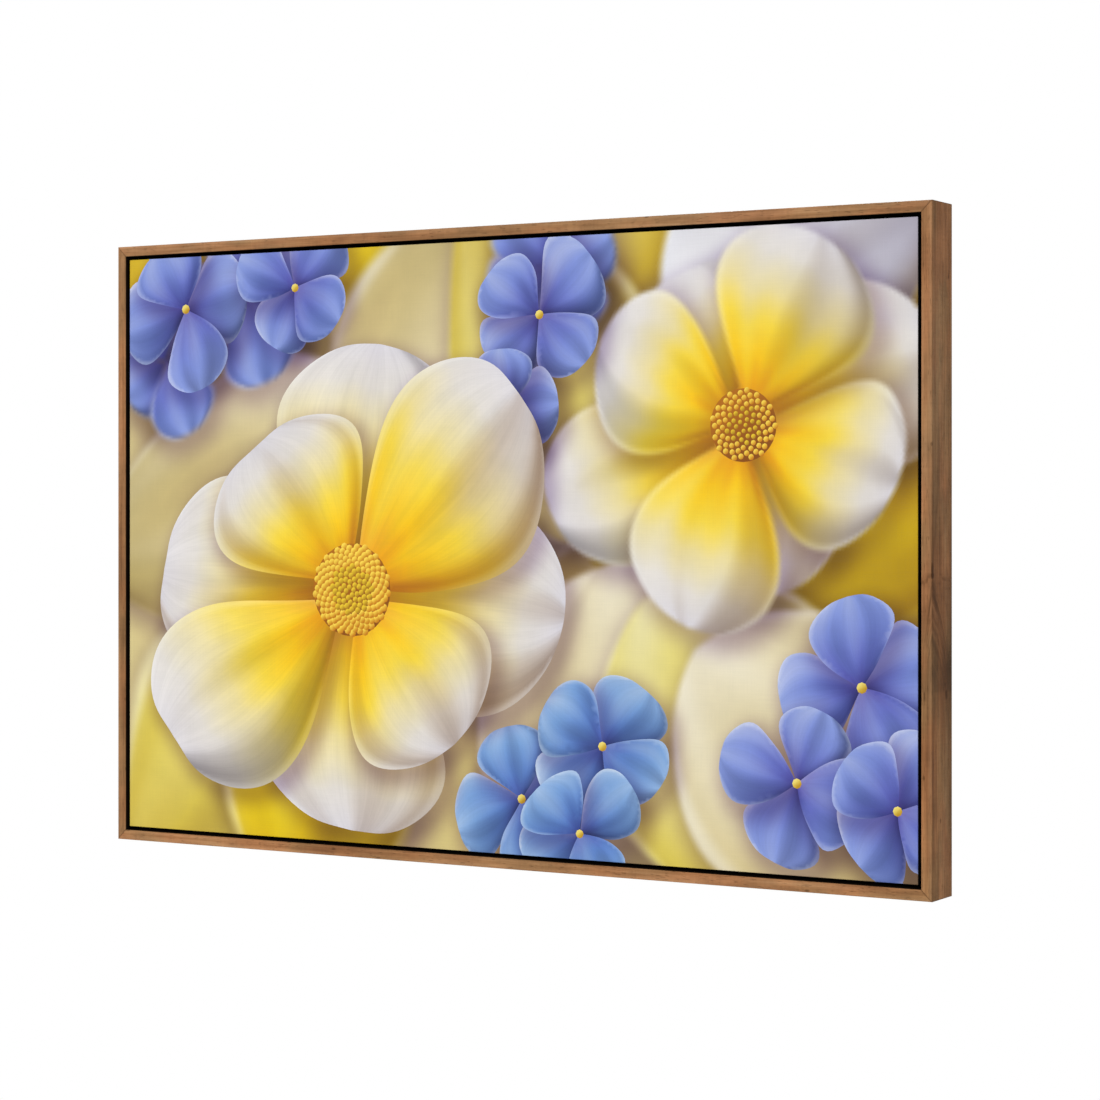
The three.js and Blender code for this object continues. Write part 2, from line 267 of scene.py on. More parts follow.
class Shader(Nodes):
    """A material's nodes, round one surface."""

    def __init__(self, name, values):
        self.material = bpy.data.materials.new(name)
        self.material.use_nodes = True
        super().__init__(self.material.node_tree)
        self.lead(values)

    def lead(self, values):
        """Leads values to the surface's sockets, by their names."""
        for name, value in values.items():
            self.put(self.tree.nodes["Principled BSDF"].inputs[name], value)

    def finish(self, colour, roughness, height, distance):
        """Leads a colour, a roughness and a relief to the surface, and gives the finished material."""
        normal = self.value("Bump", {"Height": height, "Distance": distance, "Strength": 1.0}, "Normal")
        self.lead({"Base Color": colour, "Roughness": roughness, "Normal": normal})
        return self.material


# Camera, light and floor.

def add_camera():
    camera = add_object("camera", bpy.data.cameras.new("camera"))
    camera.location = CAMERA_PLACE
    camera.rotation_euler = (math.pi / 2, 0, CAMERA_TURN)
    camera.data.sensor_width = SENSOR
    camera.data.lens = FOCAL_PIXELS / PHOTO_SIZE * SENSOR
    camera.data.shift_y = (HORIZON_PIXEL - PHOTO_SIZE / 2) / PHOTO_SIZE
    bpy.context.scene.camera = camera


def add_area_light(name, place, size, power):
    """A round lamp that shines on the origin."""
    lamp = bpy.data.lights.new(name, "AREA")
    lamp.shape = "DISK"
    lamp.size = size
    lamp.energy = power
    piece = add_object(name, lamp)
    piece.location = place
    piece.rotation_euler = (-Vector(place)).to_track_quat("-Z", "Y").to_euler()


def add_world(above, below):
    """Soft light from all round, more of it from above. The camera sees the surround plain white."""
    world = bpy.data.worlds.new("studio")
    world.use_nodes = True
    bpy.context.scene.world = world
    nodes = Nodes(world.node_tree)
    up = nodes.parts(nodes.value("TexCoord", {}, "Generated"))[2]
    seen = nodes.value("LightPath", {}, "Is Camera Ray")
    given = up.ramp(-1, 1, below, above)
    strength = nodes.value("MapRange", {"Value": seen, "To Min": given, "To Max": 1}, "Result")
    background = world.node_tree.nodes["Background"]
    nodes.put(background.inputs["Color"], (1, 1, 1, 1))
    nodes.put(background.inputs["Strength"], strength)
    bpy.context.scene.view_settings.view_transform = "Standard"


def add_floor(height, radius, sides=96):
    """A pale round floor that glows white towards its rim, so that no edge shows."""
    paint = Shader("floor_paint", {"Roughness": 0.8, "Emission Color": (1, 1, 1, 1)})
    place = paint.object_place()
    faded = paint.length(paint.stretched(place, (1 / radius, 1 / radius, 0))).ramp(0.5, 0.98)
    plain = paint.mix(paint.noise(place, 40, detail=3), "e2e0dc", "ebe9e5")
    paint.lead({"Base Color": paint.mix(faded, plain, (0, 0, 0, 1)), "Emission Strength": faded})
    turns = [2 * math.pi * i / sides for i in range(sides)]
    ring = [(radius * math.cos(turn), radius * math.sin(turn), height) for turn in turns]
    add_object("floor", new_mesh("floor", ring, [range(sides)], paint.material))


# Materials.

class Grain:
    """Noise and cells drawn out along a member that runs in X or Z, from its own place in the wood."""

    def __init__(self, paint, run, offset):
        self.paint = paint
        self.run = run
        self.place = paint.stretched(paint.object_place(), (1, 1, 1), offset)

    def drawn_out(self, along, across):
        scale = (along, across, across) if self.run == "X" else (across, across, along)
        return self.paint.stretched(self.place, scale)

    def noise(self, along, across, detail=2, **settings):
        return self.paint.noise(self.drawn_out(along, across), detail=detail, **settings)

    def cells(self, along, across):
        return self.paint.cells(self.drawn_out(along, across))


class KnotFigure:
    """The grain round a knot on the right member's front arris, alike on its front and its side.

    across is 0 on the arris and 1 at the far edge of either face, and rise is the height above the knot.
    """

    def __init__(self, paint, place):
        x, y, z = paint.parts(place)
        wander = paint.noise(paint.stretched(place, (90, 90, 26)))
        self.paint = paint
        self.on_side = (y - KNOT.y) / FRAME_DEPTH
        self.across = ((KNOT.x - x) / FACE_WIDTH + self.on_side).largest(0.0)
        self.rise = z - KNOT.z
        self.sway = wander * 0.012 - 0.006
        self.wavy = self.across + wander * 0.14
        self.spots = paint.noise(paint.stretched(place, (260, 60, 200)), detail=1)
        self.outside = self.across.ramp(1.02, 0.96)

    def between(self, bottom, top):
        """1 between two heights, each given as where its soft end starts and where it is full."""
        return self.rise.ramp(*bottom) * self.rise.ramp(*top)

    def arches(self):
        """The tone of the arches below the knot, and how far they take over from the straight grain."""
        level = self.across**3 * 0.06 + self.across * 0.045 + self.rise + self.sway
        lines = self.paint.noise(self.paint.joined(level * 95, 0.0, 0.0))
        under = level.ramp(0.002, -0.002) * self.rise.ramp(-0.13, -0.03) * self.outside
        return lines.ramp(0.30, 0.68, 0.26, 0.64), under * 0.5

    def heart(self):
        """The knot's own dark spot."""
        away = self.paint.length(self.paint.joined(self.across, self.rise * 28, 0.0))
        return away.ramp(0.04, 0.15, 0.85, 0.0)

    def flame(self):
        """A flame that widens up from the knot, with a darker outline."""
        from_edge = self.wavy - self.rise.ramp(0.0, 0.085, 0.0, 0.30) - 0.07
        outline = abs(from_edge).ramp(0.13, 0.0, 0.0, 0.30)
        filled = from_edge.ramp(0.05, -0.05, 0.0, 0.17)
        return outline.largest(filled) * self.between((-0.002, 0.003), (0.165, 0.10))

    def skirt(self):
        """A line on each face that spreads down from the knot."""
        line = self.wavy - self.rise.ramp(0.0, -0.070, 0.07, 0.62)
        return abs(line).ramp(0.15, 0.0, 0.0, 0.52) * self.between((-0.085, -0.02), (-0.001, -0.006))

    def stem(self):
        """A short stroke up the arris from the knot."""
        return self.across.ramp(0.11, 0.03, 0.0, 0.75) * self.between((-0.001, 0.001), (0.018, 0.006))

    def roof(self):
        """A spotted band on each face, from the knot to the far edge."""
        line = self.across * 0.009 + self.sway * 0.5 + self.rise
        return abs(line).ramp(0.0, 0.0085, 1.0, 0.0) * self.spots.ramp(0.40, 0.66, 0.05, 0.50)

    def dash(self):
        """A short slanted stroke on each face, well below the knot, with a fainter tail."""
        line = (self.rise + 0.108) * 2.2 + (self.across - 0.70)
        stroke = abs(line).ramp(0.09, 0.02) * self.rise.ramp(-0.114, -0.110, 0.22, 0.7)
        return stroke * self.between((-0.175, -0.12), (-0.103, -0.106))

    def marks(self):
        """How dark the wood is marked."""
        return self.heart().largest(
            self.flame(), self.skirt(), self.stem(), self.roof(), self.dash()
        ) * self.outside

    def kept(self):
        """The share of its light that the wood keeps, less of it below the knot and towards the back."""
        below = self.rise.ramp(0.0, -0.012) * self.rise.ramp(-0.15, -0.108, 0.0, 0.14)
        dip = self.rise.ramp(-0.065, -0.088) * self.rise.ramp(-0.108, -0.103, 0.0, 0.17)
        back = self.rise.ramp(-0.02, -0.08) * self.on_side.ramp(0.25, 0.85, 0.0, 0.33)
        pale_foot = self.rise.ramp(-0.105, -0.125, 0.0, -0.16)
        return 1.0 - (below + dip + back + pale_foot) * self.outside


def arris_highlight_and_shade(paint, grain, colour, behind, edge):
    """Painted highlight along the frame's front arris and a thin line of painted shade on its outer sides
    close behind.
    """
    # The pale mark along the front arris is a painted highlight.
    arris_highlight = behind.ramp(0.0012, 0.0002) * edge.ramp(0.005, 0.0005)
    colour = paint.mix(arris_highlight * grain.noise(14, 60).ramp(0.3, 0.65, 0.05, 0.22), colour, "c8a078")
    # The dark line on the outer sides just behind the arris is painted shade.
    arris_shade = behind.ramp(0.001, 0.003) * behind.ramp(0.013, 0.005) * edge.ramp(0.0008, 0.0002)
    return paint.mix(arris_shade * grain.noise(9, 60).ramp(0.35, 0.65, 0.0, 0.13), colour, "573923")


def timber(name, run, seed, tone_share, knotted):
    """Brown stained timber with fine straight grain, its inner faces painted black for the shadow gap."""
    paint = Shader(name, {"Specular IOR Level": 0.08})
    place = paint.object_place()
    grain = Grain(paint, run, (seed * 1.7, seed * 2.3, seed * 0.9))
    bundles = grain.noise(7, 300, 3, roughness=0.6)
    fibres = grain.noise(30, 1500, 3, roughness=0.65)
    pore = grain.noise(110, 1900, 1).ramp(0.66, 0.74)
    tone = bundles * 0.45 + grain.noise(4, 34, 3, distortion=0.4) * 0.55
    marks, kept = 0.0, 1.0
    if knotted:
        figure = KnotFigure(paint, place)
        arches, share = figure.arches()
        tone = tone + (arches - tone) * share
        marks, kept = figure.marks(), figure.kept()

    colour = paint.shades(
        tone * 1.15 - 0.07,
        (0.28, "755033"), (0.42, "8f6541"), (0.52, "a2744d"), (0.64, "b1835c"), (0.78, "be976a"),
    )
    tint = paint.mix(grain.noise(13, 40).ramp(0.35, 0.65), (1.06, 0.97, 0.93, 1), (0.95, 1.02, 1.01, 1))
    colour = paint.dimmed(
        paint.mix(1.0, colour, tint, "MULTIPLY"),
        fibres.ramp(0.3, 0.62, 0.88 * tone_share, 1.03 * tone_share),
        pore * -0.35 + 1.0,
        grain.noise(30, 70).ramp(0.3, 0.7, 0.86, 1.14),
        grain.noise(420, 38).ramp(0.3, 0.7, 0.96, 1.03),
        kept,
    )

    x, deep, z = paint.parts(place)
    wide, high = abs(x), abs(z)
    from_side = FRAME_HIGH.x - wide
    from_end = FRAME_HIGH.z - high
    # Painted highlight on the front arris and painted shade just behind it.
    colour = arris_highlight_and_shade(paint, grain, colour, deep - FRAME_LOW.y, from_side.math("MINIMUM", from_end))
    specks = grain.cells(30, 60).ramp(0.03, 0.11, 0.6, 0.0)
    mitre = abs(from_side - from_end).ramp(0.0002, 0.0014, 0.3, 0.0)
    colour = paint.mix(specks.largest(marks, mitre), colour, "42260f")
    in_gap = deep.ramp(CANVAS_HIGH.y + 0.0006, CANVAS_HIGH.y + 0.0003)
    for out, half in zip((wide, high), CANVAS_HALF):
        in_gap = in_gap * out.ramp(half + GAP + 0.0003, half + GAP + 0.0001)
    colour = paint.mix(in_gap, colour, "20160f")
    return paint.finish(colour, bundles * 0.16 + 0.46, fibres * 0.6 + bundles - pore * 1.2, 0.00018)


def pine(name, run, seed):
    """Pale planed pine with amber growth lines and a few small knots."""
    paint = Shader(name, {"Specular IOR Level": 0.25})
    grain = Grain(paint, run, (seed * 1.3, seed * 0.7, seed * 2.1))
    x, y, z = paint.parts(grain.place)
    rings = (z if run == "X" else x) + (y * 0.6 + grain.noise(3, 9) * 0.022)
    lines = (rings * 620).math("PINGPONG", 1.0) * grain.noise(4, 120).ramp(0.3, 0.6, 0.5, 1.0)
    fibres = grain.noise(25, 1100, 3)
    colour = paint.shades(lines, (0.0, "e6cda4"), (0.6, "e0c396"), (0.88, "d2ad79"), (1.0, "c99f69"))
    patches = grain.noise(5, 25).ramp(0.3, 0.7, 0.93, 1.04)
    colour = paint.dimmed(colour, fibres.ramp(0.3, 0.7, 0.9, 1.05), patches)
    knots = grain.cells(5, 16)
    colour = paint.mix(knots.ramp(0.05, 0.22, 0.5, 0.0), colour, "b98550")
    colour = paint.mix(knots.ramp(0.035, 0.07, 1.0, 0.0), colour, "6e4122")
    return paint.finish(colour, fibres * 0.15 + 0.62, lines * 0.4 + fibres, 0.0002)


def weave(paint, place):
    """The height of a plain weave across X and Z, one thread over and one under, and its thicker slubs."""
    drift = paint.noise(place, 60, detail=1) * 1.1
    x, _, z = paint.parts(place)
    warp, weft = [(part * (math.pi / THREAD) + drift).math("SINE") for part in (x, z)]
    upright = paint.noise(paint.stretched(place, (900, 900, 28)))
    level = paint.noise(paint.stretched(place, (28, 900, 900)))
    slubs = upright + level
    return warp * weft * 0.5 + slubs, slubs


def printed_cloth():
    """The print: its colours from the mesh, petal veins along each petal, a little grain, and the weave."""
    paint = Shader("canvas_print", {"Specular IOR Level": 0.22})
    place = paint.object_place()
    along, across, veined = paint.parts(paint.attribute("petal", "Vector"))
    veins = paint.noise(paint.joined(along * 16, across * 420, veined), detail=3, roughness=0.6)
    folds = paint.noise(paint.joined(along * 9, across * 95, veined))
    vein = veins.ramp(0.3, 0.68, -0.03, 0.015) + folds.ramp(0.3, 0.7, -0.035, 0.02)
    height, slubs = weave(paint, place)
    colour = paint.dimmed(
        paint.attribute("print_colour", "Color"),
        vein * veined.ramp(0.0, 0.05) + 1.0,
        paint.noise(place, 22, detail=4).ramp(0.3, 0.7, 0.965, 1.03),
        slubs.ramp(0.7, 1.3, 0.975, 1.01),
    )
    return paint.finish(colour, slubs.ramp(0.7, 1.3, 0.56, 0.68), height, 0.00006)


def cloth(name, dark, bright, rough):
    """Plain woven canvas between two shades."""
    paint = Shader(name, {"Specular IOR Level": 0.2})
    place = paint.object_place()
    height, slubs = weave(paint, place)
    stains = paint.noise(place, 9, detail=4, roughness=0.6)
    colour = paint.mix((slubs * 0.4 + stains * 0.25).ramp(0.3, 0.75), dark, bright)
    return paint.finish(colour, slubs.ramp(0.7, 1.3, rough - 0.05, rough + 0.05), height, 0.00012)


def metal(name, dark, bright, low, high, brushed=(1, 1, 1)):
    """Plated or bare steel between two shades, with fine brushing and faint dull patches."""
    paint = Shader(name, {"Metallic": 1.0})
    place = paint.object_place()
    patches = paint.noise(place, 70, detail=3)
    lines = paint.noise(paint.stretched(place, brushed), 1400)
    colour = paint.mix(patches.ramp(0.3, 0.72), dark, bright)
    return paint.finish(colour, (patches + lines * 0.4).ramp(0.4, 1.0, low, high), lines, 0.000015)


def rubber():
    """Matt black rubber with a moulded grain and a little dust."""
    paint = Shader("bumper_rubber", {"Specular IOR Level": 0.3})
    place = paint.object_place()
    dust = paint.noise(place, 240, detail=4, roughness=0.7)
    colour = paint.mix(dust.ramp(0.5, 0.8), "1d1d1e", "3a3937")
    return paint.finish(colour, dust.ramp(0.4, 0.8, 0.7, 0.88), paint.noise(place, 1800), 0.00012)


def dress(start, material):
    """Gives a finish to the CAD pieces whose names start so."""
    for name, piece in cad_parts.items():
        if name.startswith(start):
            for material_slot in piece.material_slots:
                material_slot.material = material


def dress_pieces(zinc):
    for seed, side in enumerate(SIDES, 1):
        run = "X" if side in ("top", "bottom") else "Z"
        dress(f"frame_{side}", timber(f"timber_{side}", run, seed, SIDE_TONES[side], side == "right"))
        dress(f"stretcher_{side}", pine(f"pine_{side}", run, seed))
    dress("cross_brace", pine("pine_brace", "Z", 7))
    dress("ledge_screw", zinc)
    nickel = metal("nickel_plate", "c4bfb5", "dad6cd", 0.16, 0.28, brushed=(1, 1, 0.12))
    dress(("strap_screw", "hanger"), nickel)
    steel = metal("nail_steel", "5f6366", "8d9194", 0.35, 0.55, brushed=(1, 0.1, 1))
    dress(("frame_nail", "stretcher_nail"), steel)
    dress("bumper", rubber())


# The printed design, painted by formula: x right and z up from the picture's middle.

PICTURE_LIGHT = 128
SHADOW_OFFSET = 0.011
SHADOW_REACH = 0.026
SHADOW_DEPTH = 0.31
LAYER_ROOM = 0.04
HIDDEN_BY = 0.0008

# How fast red, green and blue darken in a petal's shade, cool or warm, and in its shadow on what is below.
COOL_SHADE = np.array([1.35, 1.15, 0.8])
WARM_SHADE = np.array([0.7, 1.05, 1.45])
SHADOW_TINT = np.array([0.72, 0.88, 0.62])
HIGHLIGHT = np.array([1.0, 0.995, 0.98])

WHITE_GOLD = [
    (0, "d97a05"), (0.1, "eda004"), (0.26, "fbc80c"), (0.44, "f9d93e"), (0.6, "eddc98"), (0.8, "e2dcd4"),
    (1, "d8d5e0"),
]
PERIWINKLE = [(0, "4f49a4"), (0.2, "5f68bd"), (0.6, "7a8cd6"), (1, "8ea2e2")]
SKY_BLUE = [(0, "4658ae"), (0.3, "5a80c8"), (0.7, "77a0d8"), (1, "97b9e4")]
CREAM = [(0, "b09c5c"), (0.45, "d2bf86"), (0.8, "e2d5ac"), (1, "ece4cc")]
PALE_YELLOW = [(0, "c2a42a"), (0.4, "dcc854"), (0.8, "e6d87c"), (1, "f0e7ac")]
YELLOW = [(0, "bf9406"), (0.4, "e2c208"), (0.8, "ead12a"), (1, "f3e474")]
MUSTARD = [(0, "8a7414"), (0.5, "c29d14"), (0.85, "d6b93a"), (1, "e6d27a")]
LILAC_WHITE = [(0, "a7a3b6"), (0.5, "cbc8d2"), (1, "ecedf3")]

# Each backdrop petal as x, z, direction, length, half width, colours and blur.
BACKDROP = [
    (-0.47, 0.37, -38, 0.38, 0.16, YELLOW, 0.024),
    (-0.28, 0.42, -70, 0.34, 0.14, PALE_YELLOW, 0.016),
    (-0.10, 0.42, -95, 0.30, 0.10, YELLOW, 0.012),
    (0.52, 0.40, 218, 0.46, 0.19, MUSTARD, 0.022),
    (0.56, 0.02, 168, 0.50, 0.20, YELLOW, 0.016),
    (0.03, 0.40, -100, 0.46, 0.19, CREAM, 0.008),
    (-0.03, 0.36, -62, 0.40, 0.12, PALE_YELLOW, 0.006),
    (-0.52, -0.02, 12, 0.44, 0.15, CREAM, 0.006),
    (-0.46, -0.38, 42, 0.42, 0.17, PALE_YELLOW, 0.010),
    (-0.24, -0.40, 78, 0.30, 0.12, YELLOW, 0.008),
    (0.16, -0.40, 96, 0.40, 0.17, CREAM, 0.005),
    (0.30, -0.42, 82, 0.36, 0.14, MUSTARD, 0.010),
    (0.36, -0.40, 112, 0.42, 0.15, PALE_YELLOW, 0.006),
    (0.56, -0.36, 138, 0.44, 0.15, CREAM, 0.005),
    (0.54, 0.22, 192, 0.34, 0.11, PALE_YELLOW, 0.008),
    (0.50, 0.34, 205, 0.34, 0.12, LILAC_WHITE, 0.006),
]

# Groups of small flowers, each flower as x, z, size and turn, and the two daisies' centres.
BLURRED_GROUP = [(-0.40, 0.19, 0.080, 35), (-0.30, 0.26, 0.095, 10), (0.07, 0.27, 0.080, 30)]
TOP_GROUP = [(-0.375, 0.245, 0.085, 20), (-0.235, 0.262, 0.075, 62), (0.055, 0.225, 0.078, 40),
             (0.02, 0.135, 0.062, 5)]
RIGHT_GROUP = [(0.395, -0.125, 0.088, 25), (0.33, -0.215, 0.080, 70), (0.43, -0.235, 0.078, 50)]
BOTTOM_GROUP = [(0.035, -0.245, 0.080, 10), (0.125, -0.19, 0.078, 55), (0.10, -0.275, 0.072, 35)]
FAR_DAISY = (0.275, 0.115)
NEAR_DAISY = (-0.165, -0.045)

# A daisy's two rings of petals, each as its turn, and the petals' length and half width in radii.
DAISY_RINGS = ((0, 1.02, 0.40), (45, 0.97, 0.38))


def heading(degrees):
    return np.array([math.cos(math.radians(degrees)), math.sin(math.radians(degrees))])


def along_stops(stops, value):
    """The colour at each value along (place, hex) stops."""
    places = [place for place, _ in stops]
    colours = np.array([screen(text) for _, text in stops])
    return np.stack([np.interp(value, places, colours[:, k]) for k in range(3)], axis=-1)


class Petal:
    """A petal from its base along a heading, with a half width that swells and closes in a rounded tip.

    full moves its widest place towards the tip, blunt rounds it, notch dents the tip, bend leads it aside and
    wave sways the edges. fold and cup shade its form, warm is how warm its shade is, and rim how bright its
    edge is. blur is how far its edge is out of focus, and 0 is a crisp edge.
    """

    def __init__(self, base, direction, length, half_width, stops, seed, *, bend, full, blunt, notch, wave,
                 fold, cup, warm, rim, blur, samples):
        self.base, self.length, self.half_width = np.array(base, float), length, half_width
        self.out = heading(direction)
        self.side = np.array([-self.out[1], self.out[0]])
        self.stops, self.seed, self.bend, self.full, self.blunt = stops, seed, bend, full, blunt
        self.notch, self.wave, self.fold, self.cup, self.warm = notch, wave, fold, cup, warm
        self.rim, self.blur = rim, blur
        self.outline = self.trace(samples)

    def width_at(self, along):
        return np.sin(math.pi * np.clip(along, 0, 1) ** self.full) ** self.blunt

    def trace(self, samples):
        along = (1 - np.cos(np.linspace(0, math.pi, samples))) / 2
        width = self.width_at(along)
        dent = 1 - self.notch * np.exp(-((width / 0.35) ** 2)) * (along > 0.7)
        left = self.at(along * dent, width * (1 + self.wave * np.sin(9 * along + self.seed)))
        right = self.at(along * dent, -width * (1 + self.wave * np.sin(11 * along + 2 * self.seed)))
        return np.concatenate([left, right[-2:0:-1]])

    def at(self, along, across):
        sideways = across * self.half_width + self.bend * along**2
        return self.base + self.out * (along * self.length)[:, None] + self.side * sideways[:, None]

    def local(self, points):
        """How far along the petal, and how far across from -1 to 1, points are."""
        away = points - self.base
        along = away @ self.out / self.length
        half = self.half_width * np.maximum(self.width_at(along), 0.1)
        across = (away @ self.side - self.bend * along**2) / half
        return np.clip(along, 0, 1), np.clip(across, -1.2, 1.2)

    def metres(self, points):
        """How far along and across the petal points are, in metres, and a number above 0 that is its own."""
        along, across = self.local(points)
        own = np.full(len(points), 1 + self.seed)
        return np.stack([along * self.length, across * self.half_width, own], axis=1)

    def shadow(self, points):
        """How much of its own colour each point below keeps in this petal's shadow."""
        reach = SHADOW_REACH + 1.5 * self.blur
        away = outside_by(points + SHADOW_OFFSET * heading(PICTURE_LIGHT), self.outline)
        depth = SHADOW_DEPTH * (1 - smooth(-0.2 * reach, reach, away)) ** 1.5
        return 1 - depth[:, None] * SHADOW_TINT

    def shade(self, along, across):
        """How much the petal's form brightens each point, or darkens it where this is below 0."""
        sun = heading(PICTURE_LIGHT)
        shade = self.cup * float(self.side @ sun) * across * np.abs(across) ** 0.3
        shade += self.cup * float(self.out @ sun) * (along - 0.55)
        shade += self.fold * np.cos(2.2 * math.pi * across + self.seed) * smooth(0.05, 0.5, along)
        shade += 0.5 * self.fold * np.sin(5 * along + 2 * across + 2 * self.seed)
        return shade - 0.05 * smooth(0.62, 0.86, np.abs(across)) * (1 - smooth(0.86, 0.97, np.abs(across)))

    def paint(self, points):
        along, across = self.local(points)
        fingers = 0.06 * np.sin(6 * across + self.seed) + 0.035 * np.sin(15 * across + 3 * self.seed)
        colour = along_stops(self.stops, along + fingers * (1 - along) * smooth(0, 0.3, along))
        shade = self.shade(along, across)
        tint = mix(COOL_SHADE, WARM_SHADE, self.warm)
        colour = np.clip(colour, 0.01, 1) * np.exp(np.minimum(shade, 0)[:, None] * tint * 1.6)
        colour = mix(colour, HIGHLIGHT, np.clip(shade * 1.3, 0, 0.5))
        rim = self.rim * smooth(0.88, 1.0, np.abs(across)) * smooth(0.1, 0.4, along)
        return np.clip(mix(colour, 0.35 * colour + 0.65, 0.5 * rim), 0, 1)


class Bead:
    """A small round bead, such as a disc floret, from a dark to a light colour towards the light."""

    blur = 0.0

    def __init__(self, centre, radius, dark, bright, sides=8):
        self.centre, self.radius, self.dark, self.bright = np.array(centre, float), radius, dark, bright
        self.outline = self.centre + radius * np.array([heading(360 * i / sides) for i in range(sides)])

    def metres(self, points):
        return np.zeros((len(points), 3))

    def shadow(self, points):
        return np.ones((len(points), 3))

    def paint(self, points):
        facing = (points - self.centre) @ heading(PICTURE_LIGHT) / self.radius
        return mix(screen(self.dark), screen(self.bright), smooth(-0.9, 0.8, facing))


def daisy(rng, centre, radius, turn, blur=0.0):
    """A broad-petalled daisy's petals: an under ring and an upper ring of four, longer along one slant."""
    layers = []
    for offset, reach, width in DAISY_RINGS:
        for i in rng.permutation(4):
            direction = turn + offset + 90 * i + rng.uniform(-7, 7)
            slant = 0.86 + 0.14 * math.cos(math.radians(2 * (direction - 35)))
            layers.append(Petal(
                np.array(centre) + 0.04 * radius * heading(direction), direction,
                radius * reach * slant * rng.uniform(0.95, 1.05), radius * width * rng.uniform(0.9, 1.08),
                WHITE_GOLD, rng.uniform(0, 6), bend=radius * rng.uniform(-0.12, 0.12),
                full=rng.uniform(1.35, 1.7), blunt=rng.uniform(0.58, 0.72), notch=rng.uniform(0.02, 0.06),
                wave=0.018, fold=0.055, cup=0.20, warm=rng.uniform(0.25, 0.95), rim=0.7, blur=blur,
                samples=52,
            ))
    return layers


def disc(centre, radius, count):
    """A daisy's middle: florets in a sunflower spiral on a dark bed, the outer ones painted first."""
    spiral = math.degrees(math.pi * (3 - math.sqrt(5)))
    layers = [Bead(centre, radius * 1.04, "8a4c06", "b26a0c", sides=28)]
    for i in reversed(range(count)):
        share = math.sqrt((i + 0.5) / count)
        place = np.array(centre) + radius * share * heading(spiral * i)
        dark, bright = ("c4760a", "ffdf52") if share > 0.55 else ("a8770c", "f2d030")
        layers.append(Bead(place, radius * (0.062 + 0.03 * share), dark, bright))
    return layers


def small_flowers(rng, flowers, stops, blur=0.0):
    """Small flowers of four round petals, each with a bead in its middle where it is in focus."""
    layers = []
    for x, z, size, turn in flowers:
        for i in (0, 2, 1, 3):
            layers.append(Petal(
                (x, z), turn + 90 * i + rng.uniform(-10, 10), size * rng.uniform(0.85, 1.1),
                size * rng.uniform(0.46, 0.6), stops, rng.uniform(0, 6), bend=size * rng.uniform(-0.14, 0.14),
                full=rng.uniform(1.3, 1.6), blunt=0.68, notch=0.05, wave=0.04, fold=0.07, cup=0.26,
                warm=rng.uniform(0, 0.3), rim=0.9, blur=blur, samples=28,
            ))
        if not blur:
            layers.append(Bead((x, z), size * 0.06, "b98a10", "f4e27a"))
    return layers


def backdrop(rng):
    return [
        Petal((x, z), direction, length, half, stops, rng.uniform(0, 6), bend=rng.uniform(-0.05, 0.05),
              full=1.25, blunt=0.72, notch=0.03, wave=0.05, fold=0.09, cup=0.22, warm=0.75, rim=1.0,
              blur=blur, samples=48)
        for x, z, direction, length, half, stops, blur in BACKDROP
    ]


def design():
    """Every layer of the print, from the furthest to the nearest."""
    rng = np.random.default_rng(11)
    layers = backdrop(rng)
    layers += small_flowers(rng, BLURRED_GROUP, PERIWINKLE, blur=0.006)
    layers += daisy(rng, FAR_DAISY, 0.215, 20, blur=0.0035)
    layers += small_flowers(rng, TOP_GROUP, PERIWINKLE)
    layers += disc(FAR_DAISY, 0.033, 90)
    layers += small_flowers(rng, RIGHT_GROUP, PERIWINKLE)
    layers += small_flowers(rng, BOTTOM_GROUP, SKY_BLUE)
    layers += daisy(rng, NEAR_DAISY, 0.275, -8)
    layers += disc(NEAR_DAISY, 0.045, 190)
    return layers


def inside(points, outline):
    """Whether points are inside a closed outline."""
    hit = np.zeros(len(points), bool)
    for (ax, az), (bx, bz) in zip(outline, np.roll(outline, -1, axis=0)):
        if az != bz:
            crosses = (az > points[:, 1]) != (bz > points[:, 1])
            hit ^= crosses & (points[:, 0] < ax + (points[:, 1] - az) * (bx - ax) / (bz - az))
    return hit


def outside_by(points, outline):
    """How far outside an outline points are, negative inside it."""
    best = np.full(len(points), np.inf)
    for start, end in zip(outline, np.roll(outline, -1, axis=0)):
        step = end - start
        share = np.clip((points - start) @ step / max(float(step @ step), 1e-15), 0, 1)
        best = np.minimum(best, ((points - start - share[:, None] * step) ** 2).sum(1))
    return np.where(inside(points, outline), -1, 1) * np.sqrt(best)


def near(points, layer, room):
    """The numbers of the points within some room of a layer's box."""
    low, high = layer.outline.min(0) - room, layer.outline.max(0) + room
    return np.flatnonzero(((points > low) & (points < high)).all(1))


def ground(points):
    """The far background, out of focus."""
    x, z = points[:, 0], points[:, 1]
    return mix(screen("d8c78c"), screen("cdae30"), smooth(-0.3, 0.45, x + 0.3 * z))


def top_layer(middles, layers):
    """The number of the uppermost crisp layer over each point, or -1 over the soft backdrop."""
    top = np.full(len(middles), -1)
    for i, layer in enumerate(layers):
        at = near(middles, layer, 0)
        top[at[inside(middles[at], layer.outline)]] = i
    return top


